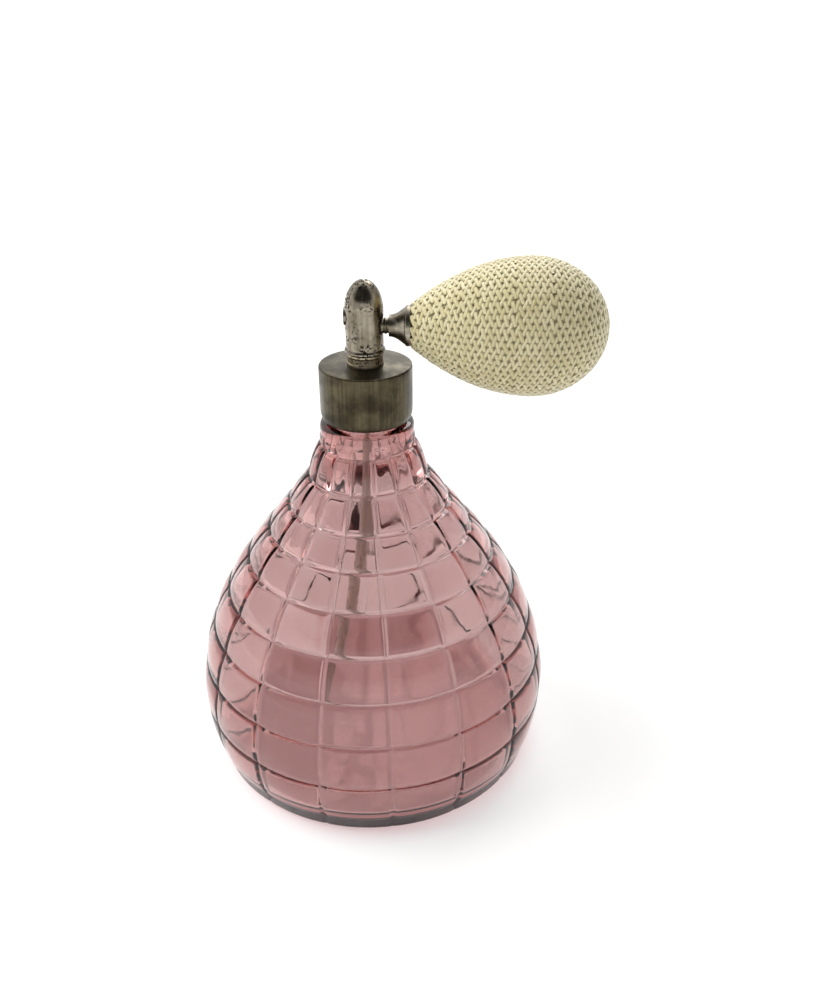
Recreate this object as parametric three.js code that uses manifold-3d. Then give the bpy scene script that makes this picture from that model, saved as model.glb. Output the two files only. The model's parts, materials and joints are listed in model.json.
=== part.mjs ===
// Perfume atomiser: a pressed-glass bottle, a screw collar, a swivelling spray head and a
// rubber squeeze bulb under a crocheted cover.
//
// Millimetres. The origin is the centre of the bottle's flat underside, +Z is the bottle's
// axis and +X points from the spray head to the squeeze bulb.

import * as THREE from "three";
import { mergeVertices } from "three/addons/utils/BufferGeometryUtils.js";
import Module from "manifold-3d";

const wasm = await Module();
wasm.setup();

// ---------------------------------------------------------------- driving dimensions

const FIT_GAP = 0.3; // radial room between two fitted pieces

// Bottle. Each ring groove has its own height and radius, from the foot to the neck.
const RING_GROOVES = [
  { z: 4.6, radius: 50.4 },
  { z: 19.5, radius: 53.4 },
  { z: 33.4, radius: 52.3 },
  { z: 45.6, radius: 48.8 },
  { z: 57.0, radius: 43.4 },
  { z: 67.4, radius: 36.7 },
  { z: 76.3, radius: 29.9 },
  { z: 84.2, radius: 23.7 },
  { z: 92.9, radius: 17.4 },
  { z: 102.6, radius: 13.9 },
];
const PANELS = 16; // vertical grooves round the bottle
const STEPS_PER_PANEL = 3;
const PANEL_OFFSET = THREE.MathUtils.degToRad(9.6); // first vertical groove, from -Y towards +X
const PILLOW_RISE = 0.06; // of the distance between two ring grooves
const VERTICAL_GROOVE_DEPTH = 0.7;
const UNDERSIDE_RADIUS = 47.5;
const FOOT_RADIUS = 49.4;
const GLASS_WALL = 3.4;
const GLASS_FLOOR = 7;
const BEAD = { z: 107.6, radius: 13.4, halfHeight: 1.5 };
const NECK_BORE = 7.6;
const NECK_RADIUS = 10.5;
const LIP_Z = 122.6;

// Thread between the glass and the collar: two starts.
const THREAD = { lead: 6, starts: 2, turns: 1.1, baseWidth: 1.3, crestWidth: 0.8, stepsPerTurn: 24 };
const GLASS_CREST = 11.4;
const LINER_BORE = 11.75;
const LINER_CREST = 10.85;

// Collar.
const COLLAR = { radius: 13, bottom: 110.3, top: 125.7, wall: 0.5, plate: 0.6, hole: 3.4 };
const LINER = { radius: 12.2, bottom: 111.1, plateBottom: 123.8, top: 124.9 };
const BOSS = { radius: 5.05, bottom: 125.8, top: 129.2, counterbore: 3.6, bore: 3.0, step: 128.1 };

// Spray head.
const DOME = { radius: 5.3, lip: 5.65, bottom: 129.45, shoulder: 141.1, rise: 8.2, wall: 0.8 };
const CORE = { radius: 4.1, bottom: 130.1, top: 143 };
const STEM = { radius: 2.6, bore: 0.8, bottom: 118.6, top: 133.4, nose: 1.3, noseBottom: 115.4 };
const NUT = { acrossCorners: 11.2, bottom: 119.7, top: 122.6 };
const JET_Z = 139.2;
const SPOUT_Z = 136.6;
const NIPPLE = { radius: 2.0, crest: 2.25, bore: 0.9, start: 1.6, end: 8.4 };

// Dip tube: straight under the stem, then a gentle sweep to the foot of the bottle.
const TUBE = { radius: 1.4, bore: 0.8, top: 114.3, bendTop: 108, bottom: 9.4, sweep: 0.00165 };

// Squeeze bulb, measured along +X from the bottle's axis.
const FERRULE = { start: 6.7, flareEnd: 11.1, end: 12.9, neck: 2.95, mouth: 5.3, bead: 5.55 };
const EGG = { start: 13.2, widest: 45.1, radius: 18.7, noseReach: 39.3, tailReach: 20.7 };
const COVER_THICKNESS = 1.1;
const RUBBER_GAP = 0.3;
const RUBBER_WALL = 1.8;
const TAIL_HOLE = 3.1;
const TAIL_VALVE = { start: 58.7, end: 62.9, radius: 2.75, flange: 4.3, chamber: 1.5, seat: 61 };
const OUTLET = { ball: 0.95, ballAt: 16.05, seatStart: 16.9, seatEnd: 18.2, chamber: 1.5 };
const INLET_BALL = { radius: 1.1, at: 59.45 };

// Facets round each kind of piece.
const FINE = 32;
const MEDIUM = 24;
const COARSE = 16;

// ---------------------------------------------------------------- materials

const MATERIALS = {
  pinkGlass: [0xcfa3b1, 0.06, 0.0],
  darkNickel: [0x6e675f, 0.38, 1.0],
  platedBrass: [0xa39c90, 0.22, 1.0],
  wornPlate: [0xb5b1aa, 0.18, 1.0],
  brass: [0xb08d4f, 0.3, 1.0],
  steel: [0xa9abad, 0.3, 1.0],
  whitePlastic: [0xe4e2dc, 0.5, 0.0],
  clearTube: [0xdcdcd8, 0.25, 0.0],
  blackRubber: [0x22201f, 0.8, 0.0],
  creamRubber: [0xcabf9a, 0.7, 0.0],
  creamThread: [0xe9e3c4, 0.6, 0.0],
};

function finish(name) {
  const [color, roughness, metalness] = MATERIALS[name];
  return new THREE.MeshStandardMaterial({ color, roughness, metalness });
}

// ---------------------------------------------------------------- geometry helpers

// A closed mesh with shared vertices, no collapsed triangles and its faces pointing out.
function tidy(geometry) {
  const bare = geometry.index ? geometry.clone() : mergeVertices(geometry);
  bare.deleteAttribute("normal");
  bare.deleteAttribute("uv");
  const merged = mergeVertices(bare, 1e-4);
  const old = merged.index.array;
  const corner = (i) => new THREE.Vector3().fromBufferAttribute(merged.attributes.position, i);
  const kept = [];
  let volume = 0;
  for (let i = 0; i < old.length; i += 3) {
    const [a, b, c] = [old[i], old[i + 1], old[i + 2]];
    if (a === b || b === c || c === a) continue;
    kept.push(a, b, c);
    volume += corner(a).dot(corner(b).cross(corner(c)));
  }
  if (volume < 0) kept.reverse();
  merged.setIndex(kept);
  return merged;
}

function toSolid(geometry) {
  const mesh = tidy(geometry);
  const vertProperties = new Float32Array(mesh.attributes.position.array);
  const triVerts = new Uint32Array(mesh.index.array);
  return new wasm.Manifold(new wasm.Mesh({ numProp: 3, vertProperties, triVerts }));
}

function toGeometry(solid) {
  const { numProp, vertProperties, triVerts } = solid.getMesh();
  const geometry = new THREE.BufferGeometry();
  geometry.setAttribute("position", new THREE.BufferAttribute(vertProperties, numProp));
  geometry.setIndex(new THREE.BufferAttribute(triVerts, 1));
  return geometry;
}

function cut(geometry, ...tools) {
  return toGeometry(tools.reduce((solid, tool) => solid.subtract(toSolid(tool)), toSolid(geometry)));
}

function join(geometry, ...additions) {
  return toGeometry(additions.reduce((solid, other) => solid.add(toSolid(other)), toSolid(geometry)));
}

// A body turned about +Z from [radius, height] points that start and end on the axis.
function turned(points, segments = COARSE, start = 0) {
  const outline = points.map(([radius, height]) => new THREE.Vector2(radius, height));
  return tidy(new THREE.LatheGeometry(outline, segments, start).rotateX(Math.PI / 2));
}

// A turned body with a hole through it: its outline closes on itself.
function ring(points, segments = COARSE, start = 0) {
  return turned([...points, points[0]], segments, start);
}

function pipe(outer, inner, bottom, top, segments = COARSE) {
  return ring([[inner, bottom], [outer, bottom], [outer, top], [inner, top]], segments);
}

// A plain rod between two points, used as a drill.
function rod(from, to, radius, sides = 12) {
  const axis = new THREE.Vector3().subVectors(to, from);
  const geometry = new THREE.CylinderGeometry(radius, radius, axis.length(), sides);
  const turn = new THREE.Quaternion().setFromUnitVectors(
    new THREE.Vector3(0, 1, 0),
    axis.clone().normalize(),
  );
  geometry.applyQuaternion(turn);
  const middle = new THREE.Vector3().addVectors(from, to).multiplyScalar(0.5);
  return geometry.translate(middle.x, middle.y, middle.z);
}

const at = (x, z) => new THREE.Vector3(x, 0, z);

// One start of a screw thread: a trapezoid swept up a helix, from a buried root to its crest.
function threadRidge(root, crest, startAngle, startHeight) {
  const { lead, turns, baseWidth, crestWidth, stepsPerTurn } = THREAD;
  const steps = Math.round(turns * stepsPerTurn);
  const section = [
    [root, -baseWidth / 2],
    [crest, -crestWidth / 2],
    [crest, crestWidth / 2],
    [root, baseWidth / 2],
  ];
  const positions = [];
  for (let i = 0; i <= steps; i++) {
    const turn = i / stepsPerTurn;
    const angle = startAngle + turn * 2 * Math.PI;
    for (const [radius, rise] of section) {
      const z = startHeight + turn * lead + rise;
      positions.push(radius * Math.cos(angle), radius * Math.sin(angle), z);
    }
  }
  const index = [];
  const corners = section.length;
  for (let i = 0; i < steps; i++) {
    for (let k = 0; k < corners; k++) {
      const a = i * corners + k;
      const b = i * corners + ((k + 1) % corners);
      index.push(a, b, b + corners, a, b + corners, a + corners);
    }
  }
  const last = steps * corners;
  index.push(0, 2, 1, 0, 3, 2, last, last + 1, last + 2, last, last + 2, last + 3);
  const geometry = new THREE.BufferGeometry();
  geometry.setAttribute("position", new THREE.Float32BufferAttribute(positions, 3));
  geometry.setIndex(index);
  return geometry;
}

function threadRidges(root, crest, offset, startHeight) {
  return Array.from({ length: THREAD.starts }, (_, start) => {
    const angle = offset + (start / THREAD.starts) * 2 * Math.PI;
    return threadRidge(root, crest, angle, startHeight);
  });
}

// ---------------------------------------------------------------- bottle

// The crest of the pillow between two ring grooves stands out along the wall's normal.
function pillowCrest(lower, upper) {
  const along = new THREE.Vector2(upper.radius - lower.radius, upper.z - lower.z);
  const out = new THREE.Vector2(along.y, -along.x).multiplyScalar(PILLOW_RISE);
  return [(lower.radius + upper.radius) / 2 + out.x, (lower.z + upper.z) / 2 + out.y];
}

function bottleOutside() {
  const points = [[0, 0], [UNDERSIDE_RADIUS, 0], [FOOT_RADIUS, 0.9], [FOOT_RADIUS + 1.2, 2.4]];
  RING_GROOVES.forEach((groove, i) => {
    points.push([groove.radius, groove.z]);
    const next = RING_GROOVES[i + 1];
    if (next) points.push(pillowCrest(groove, next));
  });
  const { z, radius, halfHeight } = BEAD;
  points.push([radius + 0.4, z - halfHeight - 1], [radius - 0.3, z - halfHeight], [radius, z]);
  points.push([radius - 0.5, z + halfHeight], [NECK_RADIUS + 0.4, z + halfHeight + 0.7]);
  points.push([NECK_RADIUS, z + halfHeight + 1.2], [NECK_RADIUS, LIP_Z - 0.5]);
  points.push([NECK_RADIUS - 0.5, LIP_Z]);
  return points;
}

function bottleInside() {
  const walls = RING_GROOVES.slice(1, -1).map(({ radius, z }) => [radius - GLASS_WALL, z]);
  const floorEdge = [
    [RING_GROOVES[1].radius - GLASS_WALL - 1.5, GLASS_FLOOR + 5],
    [RING_GROOVES[1].radius - GLASS_WALL - 5, GLASS_FLOOR + 1.5],
  ];
  return [[NECK_BORE, LIP_Z], [NECK_BORE, 102], ...walls.reverse(), ...floorEdge, [0, GLASS_FLOOR]];
}

// Vertical grooves are pressed in where a panel edge meets the outside between foot and neck.
function pressVerticalGrooves(geometry) {
  const position = geometry.attributes.position;
  const top = RING_GROOVES.at(-1).z + 2;
  for (let i = 0; i < position.count; i++) {
    const [x, y, z] = [position.getX(i), position.getY(i), position.getZ(i)];
    const radius = Math.hypot(x, y);
    const panel = (Math.atan2(x, -y) - PANEL_OFFSET) / ((2 * Math.PI) / PANELS);
    const onGroove = Math.abs(panel - Math.round(panel)) < 0.01;
    const outside = radius > outsideRadius(z) - GLASS_WALL / 2;
    if (!onGroove || !outside || z < 1 || z > top) continue;
    const scale = (radius - VERTICAL_GROOVE_DEPTH) / radius;
    position.setXY(i, x * scale, y * scale);
  }
  return geometry;
}

function outsideRadius(z) {
  const points = bottleOutside();
  const above = points.findIndex(([, height]) => height > z);
  if (above < 1) return points.at(-1)[0];
  const [[r0, z0], [r1, z1]] = [points[above - 1], points[above]];
  return THREE.MathUtils.mapLinear(z, z0, z1, r0, r1);
}

function glassBottle() {
  const outline = [...bottleOutside(), ...bottleInside()];
  const body = pressVerticalGrooves(turned(outline, PANELS * STEPS_PER_PANEL, PANEL_OFFSET));
  const ridges = threadRidges(NECK_RADIUS - 0.6, GLASS_CREST, 0, BEAD.z + 6.2);
  return join(body, ...ridges);
}

// ---------------------------------------------------------------- collar

function collarShell() {
  const { radius, bottom, top, wall, plate, hole } = COLLAR;
  return ring([
    [hole, top - plate],
    [radius - wall, top - plate],
    [radius - wall, bottom + 2],
    [radius - wall - 0.35, bottom + 0.6],
    [radius - wall - 0.35, bottom],
    [radius - 0.6, bottom],
    [radius - 0.2, bottom + 0.7],
    [radius, bottom + 2],
    [radius, top - 0.35],
    [radius - 0.2, top - 0.05],
    [radius - 0.5, top],
    [hole, top],
  ], FINE);
}

function threadLiner() {
  const { radius, bottom, plateBottom, top } = LINER;
  const shell = ring([
    [COLLAR.hole, plateBottom],
    [LINER_BORE, plateBottom],
    [LINER_BORE, bottom],
    [radius, bottom],
    [radius, top],
    [COLLAR.hole, top],
  ], FINE);
  // The liner's ridges run midway between the glass's, so each start is half a pitch lower.
  const pitch = THREAD.lead / THREAD.starts;
  const ridges = threadRidges(LINER_BORE + 0.25, LINER_CREST, 0, BEAD.z + 6.2 - pitch / 2);
  return join(shell, ...ridges);
}

function bossRing() {
  const { radius, bottom, top, counterbore, bore, step } = BOSS;
  return ring([
    [counterbore, bottom],
    [radius, bottom],
    [radius, top - 0.3],
    [radius - 0.3, top],
    [bore, top],
    [bore, step],
    [counterbore, step],
  ], MEDIUM);
}

// ---------------------------------------------------------------- spray head

function domeOutline(radius, rise, count) {
  return Array.from({ length: count }, (_, i) => {
    const angle = (i / count) * (Math.PI / 2);
    return [radius * Math.cos(angle), DOME.shoulder + rise * Math.sin(angle)];
  });
}

function headDome() {
  const { radius, lip, bottom, shoulder, rise, wall } = DOME;
  const inner = radius - wall;
  const shell = turned([
    [0, shoulder + rise - wall],
    ...domeOutline(inner, rise - wall, 4).reverse(),
    [inner, bottom],
    [lip, bottom],
    [lip, bottom + 0.6],
    [radius, bottom + 1.1],
    ...domeOutline(radius, rise, 6),
    [0, shoulder + rise],
  ], MEDIUM);
  const jetHole = rod(at(-radius - 2, JET_Z), at(-2, JET_Z), 2.75, 16);
  const nippleHole = rod(at(2, SPOUT_Z), at(radius + 2, SPOUT_Z), NIPPLE.crest + FIT_GAP, 16);
  return cut(shell, jetHole, nippleHole);
}

// The liquid rises up the middle and leaves along the needle; the air goes over the top of
// it, from the nipple's chamber to the room round the needle.
function nozzleCore() {
  const { radius, bottom, top } = CORE;
  const plug = turned([[0, bottom], [radius, bottom], [radius, top], [0, top]], MEDIUM);
  const gallery = 141.7;
  return cut(
    plug,
    rod(at(0, bottom - 1), at(0, STEM.top + 0.3), STEM.radius + FIT_GAP, 16),
    rod(at(0, STEM.top), at(0, JET_Z), 0.6, 8),
    rod(at(0, JET_Z), at(-radius - 1, JET_Z), 0.75, 8),
    rod(at(-2, JET_Z), at(-radius - 1, JET_Z), 1.75),
    rod(at(NIPPLE.start - FIT_GAP, SPOUT_Z), at(radius + 1, SPOUT_Z), NIPPLE.crest + FIT_GAP),
    rod(at(2, SPOUT_Z), at(2, gallery), 0.5, 8),
    rod(at(2.4, gallery), at(-3.1, gallery), 0.5, 8),
    rod(at(-2.7, gallery), at(-2.7, JET_Z), 0.5, 8),
  );
}

function stem() {
  const { radius, bore, bottom, top, nose, noseBottom } = STEM;
  const threads = [0, 1, 2].flatMap((i) => {
    const z = NUT.bottom + 0.4 + i;
    return [[radius, z], [radius - 0.3, z + 0.3], [radius, z + 0.6]];
  });
  return ring([
    [bore, noseBottom],
    [nose, noseBottom],
    [nose, bottom],
    [radius, bottom],
    ...threads,
    [radius, top],
    [bore, top],
  ]);
}

function stemNut() {
  const { acrossCorners, bottom, top } = NUT;
  const hexagon = new THREE.CylinderGeometry(acrossCorners / 2, acrossCorners / 2, top - bottom, 6);
  hexagon.rotateX(Math.PI / 2).translate(0, 0, (top + bottom) / 2);
  return cut(hexagon, rod(at(0, bottom - 1), at(0, top + 1), STEM.radius + FIT_GAP, COARSE));
}

function stemORing() {
  const torus = new THREE.TorusGeometry(3.1, 0.4, 8, COARSE);
  return torus.translate(0, 0, BOSS.bottom + 1.2);
}

function dipTubeSleeve() {
  const [outer, overNose, overTube, web] = [2.5, STEM.nose + FIT_GAP, TUBE.radius + FIT_GAP, 0.7];
  return ring([
    [overTube, 112.4],
    [outer, 112.4],
    [outer, STEM.bottom - FIT_GAP],
    [overNose, STEM.bottom - FIT_GAP],
    [overNose, STEM.noseBottom - FIT_GAP],
    [web, STEM.noseBottom - FIT_GAP],
    [web, TUBE.top + FIT_GAP],
    [overTube, TUBE.top + FIT_GAP],
  ]);
}

function dipTube() {
  const { radius, bore, top, bendTop, bottom, sweep } = TUBE;
  const points = [at(0, top)];
  const bends = 6;
  for (let i = 0; i <= bends; i++) {
    const z = THREE.MathUtils.lerp(bendTop, bottom, i / bends);
    points.push(at(-sweep * (bendTop - z) ** 2, z));
  }
  const section = new THREE.Shape().absarc(0, 0, radius, 0, 2 * Math.PI);
  section.holes.push(new THREE.Path().absarc(0, 0, bore, 0, 2 * Math.PI, true));
  const extrudePath = new THREE.CatmullRomCurve3(points);
  return new THREE.ExtrudeGeometry(section, { steps: 13, curveSegments: 5, extrudePath });
}

// The jet's face is a flat disc in the side of the dome; a stub behind it enters the core.
function jetNozzle() {
  const orifice = 0.35;
  return ring([
    [0.8, 2.3],
    [1.4, 2.3],
    [1.4, 4.6],
    [2.45, 4.6],
    [2.45, 5.3],
    [2.2, 5.5],
    [orifice, 5.5],
    [orifice, 5.1],
    [0.8, 4.8],
  ]);
}

// ---------------------------------------------------------------- squeeze bulb
// These bodies are turned about their own +Z, which the bulb group lays along +X.

function airNipple() {
  const { radius, crest, bore, start, end } = NIPPLE;
  const threads = [];
  for (let z = start + 0.4; z < end - 0.5; z += 1.1) {
    threads.push([crest, z], [radius, z + 0.55]);
  }
  return ring([[bore, start], [radius, start], ...threads, [radius, end], [bore, end]]);
}

function bulbFerrule() {
  const { start, flareEnd, end, neck, mouth, bead } = FERRULE;
  const web = 8.7;
  return ring([
    [NIPPLE.crest + FIT_GAP, start],
    [neck, start],
    [neck + 0.15, start + 1.2],
    [neck + 0.75, start + 2.5],
    [mouth - 0.25, flareEnd - 0.1],
    [bead - 0.05, flareEnd + 0.3],
    [bead, (flareEnd + end) / 2],
    [bead - 0.2, end],
    [mouth - 0.35, end],
    [mouth - 0.6, flareEnd],
    [2.6, web + 0.5],
    [1.2, web + 0.5],
    [1.2, web],
    [NIPPLE.crest + FIT_GAP, web],
  ], MEDIUM);
}

function bulbSpigot() {
  const [start, end, stop] = [9.5, 19, 12.4];
  const barbs = [13.4, 15.3, 17.2].flatMap((z) => [[2.0, z], [2.55, z + 0.2], [2.0, z + 1.6]]);
  return ring([
    [0.7, start],
    [2.3, start],
    [2.3, start + 0.7],
    [2.0, start + 0.9],
    ...barbs,
    [2.0, end],
    [OUTLET.chamber, end],
    [OUTLET.chamber, stop],
    [0.7, stop - 0.6],
  ]);
}

function outletValveSeat() {
  const { chamber, seatStart, seatEnd } = OUTLET;
  return pipe(chamber - FIT_GAP, 0.55, seatStart, seatEnd);
}

// Outline of an egg, blunt at the tail, pulled in by an inset from the cover's outside.
function eggOutline(inset, start, stopRadius) {
  const { widest, radius, noseReach, tailReach } = EGG;
  const points = [];
  const noseSteps = 6;
  for (let i = 0; i < noseSteps; i++) {
    const z = THREE.MathUtils.lerp(start, widest, i / noseSteps);
    points.push([radius * (1 - ((widest - z) / noseReach) ** 2) - inset, z]);
  }
  const stopAngle = Math.acos(stopRadius / (radius - inset));
  const tailSteps = 6;
  for (let i = 0; i <= tailSteps; i++) {
    const angle = (i / tailSteps) * stopAngle;
    const reach = (tailReach - inset) * Math.sin(angle);
    points.push([(radius - inset) * Math.cos(angle), widest + reach]);
  }
  return points;
}

function netCover() {
  const outside = eggOutline(0, EGG.start, 0);
  const inside = eggOutline(COVER_THICKNESS, EGG.start, 0).reverse();
  return turned([...inside, ...outside], MEDIUM);
}

// A straight neck, an egg and a hole in the tail that holds the inlet valve.
function rubberBulb() {
  const inset = COVER_THICKNESS + RUBBER_GAP;
  const [neckStart, neckEnd] = [11.6, EGG.start + 1.6];
  const [neckOuter, neckInner] = [4.3, 2.9];
  const outside = eggOutline(inset, neckEnd + 1.6, TAIL_HOLE);
  const inside = eggOutline(inset + RUBBER_WALL, neckEnd + 3.6, TAIL_HOLE).reverse();
  return ring([
    ...inside,
    [neckInner, neckEnd + 2],
    [neckInner, neckStart],
    [neckOuter, neckStart],
    [neckOuter, neckEnd],
    ...outside,
  ]);
}

function netTie() {
  return new THREE.TorusGeometry(4.85, 0.25, 6, COARSE).translate(0, 0, EGG.start + 0.4);
}

function inletValveBody() {
  const { start, end, radius, flange, chamber, seat } = TAIL_VALVE;
  const port = 0.8;
  return ring([
    [chamber, start],
    [radius, start],
    [radius, start + 1.6],
    [flange, start + 1.8],
    [flange, start + 2.7],
    [radius, start + 2.9],
    [radius, end],
    [port, end],
    [port, seat + chamber - port],
    [chamber, seat],
  ]);
}

function inletValveCage() {
  const { start, radius } = TAIL_VALVE;
  return pipe(radius - 0.1, 0.7, start - 1.5, start - 0.2);
}

function ball(radius, z) {
  return new THREE.SphereGeometry(radius, 12, 8).rotateX(Math.PI / 2).translate(0, 0, z);
}

// ---------------------------------------------------------------- assembly

function piece(group, name, material, geometry) {
  const mesh = new THREE.Mesh(tidy(geometry), finish(material));
  mesh.name = name;
  group.add(mesh);
}

const atomiser = new THREE.Group();

const jet = new THREE.Group();
jet.position.z = JET_Z;
jet.rotation.y = -Math.PI / 2;

const bulb = new THREE.Group();
bulb.position.z = SPOUT_Z;
bulb.rotation.y = Math.PI / 2;

atomiser.add(jet, bulb);

piece(atomiser, "glass_bottle", "pinkGlass", glassBottle());

piece(atomiser, "collar_shell", "darkNickel", collarShell());
piece(atomiser, "thread_liner", "whitePlastic", threadLiner());
piece(atomiser, "lip_gasket", "blackRubber", pipe(10.6, 7.9, LIP_Z + 0.1, LINER.plateBottom - 0.1));
piece(atomiser, "boss_ring", "wornPlate", bossRing());
piece(atomiser, "stem_o_ring", "blackRubber", stemORing());

piece(atomiser, "swivel_washer", "whitePlastic", pipe(4.2, 2.95, BOSS.top + 0.05, CORE.bottom - 0.05));
piece(atomiser, "head_dome", "wornPlate", headDome());
piece(atomiser, "nozzle_core", "brass", nozzleCore());
piece(atomiser, "stem", "brass", stem());
piece(atomiser, "nut_washer", "brass", pipe(5.2, 2.95, NUT.top + 0.1, LINER.plateBottom - 0.1));
piece(atomiser, "stem_nut", "brass", stemNut());
piece(atomiser, "dip_tube_sleeve", "whitePlastic", dipTubeSleeve());
piece(atomiser, "dip_tube", "clearTube", dipTube());

piece(jet, "jet_nozzle", "platedBrass", jetNozzle());
piece(jet, "spray_needle", "steel", pipe(0.45, 0.2, 0.9, 4.7, 8));

piece(bulb, "air_nipple", "platedBrass", airNipple());
piece(bulb, "bulb_ferrule", "platedBrass", bulbFerrule());
piece(bulb, "bulb_spigot", "brass", bulbSpigot());
piece(bulb, "outlet_valve_seat", "brass", outletValveSeat());
piece(bulb, "outlet_valve_ball", "steel", ball(OUTLET.ball, OUTLET.ballAt));
piece(bulb, "rubber_bulb", "creamRubber", rubberBulb());
piece(bulb, "net_cover", "creamThread", netCover());
piece(bulb, "net_tie", "creamThread", netTie());
piece(bulb, "inlet_valve_body", "brass", inletValveBody());
piece(bulb, "inlet_valve_cage", "brass", inletValveCage());
piece(bulb, "inlet_valve_ball", "steel", ball(INLET_BALL.radius, INLET_BALL.at));

export default atomiser;
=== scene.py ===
# %% [markdown]
# # A perfume atomiser with a squeeze bulb
#
# The bottle is moulded pink glass, covered with a grid of grooves. A dark metal collar screws
# onto its neck. Through the collar comes the spray head, a small plated dome with a jet on one
# side and a rubber bulb in a knitted cover on the other.
#
# The CAD model is the frame: it says where everything is and how it moves. This script gives
# each visible piece its real surface, and every piece a finish.

# %% Load the frame
import json
import math

import bmesh
import bpy
import numpy as np
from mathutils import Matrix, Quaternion, Vector


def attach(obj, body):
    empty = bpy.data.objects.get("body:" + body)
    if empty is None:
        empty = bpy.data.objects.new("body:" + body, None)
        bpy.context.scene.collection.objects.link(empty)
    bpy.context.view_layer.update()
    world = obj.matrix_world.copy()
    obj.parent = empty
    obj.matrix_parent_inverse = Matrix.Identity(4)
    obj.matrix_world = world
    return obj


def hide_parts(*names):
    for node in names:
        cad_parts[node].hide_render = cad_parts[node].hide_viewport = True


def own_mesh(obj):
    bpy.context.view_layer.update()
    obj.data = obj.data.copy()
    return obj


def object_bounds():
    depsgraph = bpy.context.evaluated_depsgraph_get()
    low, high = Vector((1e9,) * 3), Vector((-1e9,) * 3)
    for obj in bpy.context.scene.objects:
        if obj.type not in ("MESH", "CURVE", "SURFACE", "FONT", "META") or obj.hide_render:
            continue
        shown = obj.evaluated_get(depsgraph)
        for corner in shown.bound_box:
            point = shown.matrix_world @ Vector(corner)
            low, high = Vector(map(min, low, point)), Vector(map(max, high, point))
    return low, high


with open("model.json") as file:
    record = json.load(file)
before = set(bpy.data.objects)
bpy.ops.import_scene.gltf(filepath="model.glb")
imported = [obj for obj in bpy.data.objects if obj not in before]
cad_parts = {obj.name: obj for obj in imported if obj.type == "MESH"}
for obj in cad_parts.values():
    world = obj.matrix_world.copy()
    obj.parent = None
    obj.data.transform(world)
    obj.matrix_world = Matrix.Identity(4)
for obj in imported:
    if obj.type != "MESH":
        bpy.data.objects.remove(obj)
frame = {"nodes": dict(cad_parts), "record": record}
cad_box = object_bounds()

MM = 0.001  # pieces are given in millimetres, and the camera, lamps and floor in metres
print("CAD nodes:", len(frame["nodes"]), "box:", [tuple(round(v, 4) for v in c) for c in cad_box])

# %% [markdown]
# ## Camera, floor and light
#
# A product view from a little above, with a moderate lens. The camera aims beside the bottle's
# axis, so that the bulb on the right stays well inside the frame.

# %% Camera
low, high = (Vector(corner) for corner in cad_box)
HEIGHT = high.z - low.z
AIM = Vector((0.0141, 0.0, 0.536 * HEIGHT))  # towards the bulb, just above half height
CAMERA_DISTANCE = 0.2897
CAMERA_TURN = math.radians(1.99)
CAMERA_ELEVATION = math.radians(28.25)
CAMERA_ROLL = math.radians(-0.2)
LENS_LENGTH = 35.29  # millimetres, like the sensor's width
SENSOR_WIDTH = 36.0

backwards = Vector((
    math.sin(CAMERA_TURN) * math.cos(CAMERA_ELEVATION),
    -math.cos(CAMERA_TURN) * math.cos(CAMERA_ELEVATION),
    math.sin(CAMERA_ELEVATION),
))
lens = bpy.data.cameras.new("camera")
lens.lens = LENS_LENGTH
lens.sensor_width = SENSOR_WIDTH
lens.clip_start = 0.01
camera = bpy.data.objects.new("camera", lens)
bpy.context.scene.collection.objects.link(camera)
camera.rotation_mode = "QUATERNION"
camera.location = AIM + backwards * CAMERA_DISTANCE
camera.rotation_quaternion = (
    (-backwards).to_track_quat("-Z", "Y") @ Quaternion((0, 0, 1), CAMERA_ROLL)
)
bpy.context.scene.camera = camera
print("camera at", [round(v, 4) for v in camera.location])

# %% [markdown]
# Nodes are added in many places below, for finishes and for shapes. A small board object keeps
# that short: it adds a node, sets its inputs and joins it to the sockets it is given.

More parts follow.
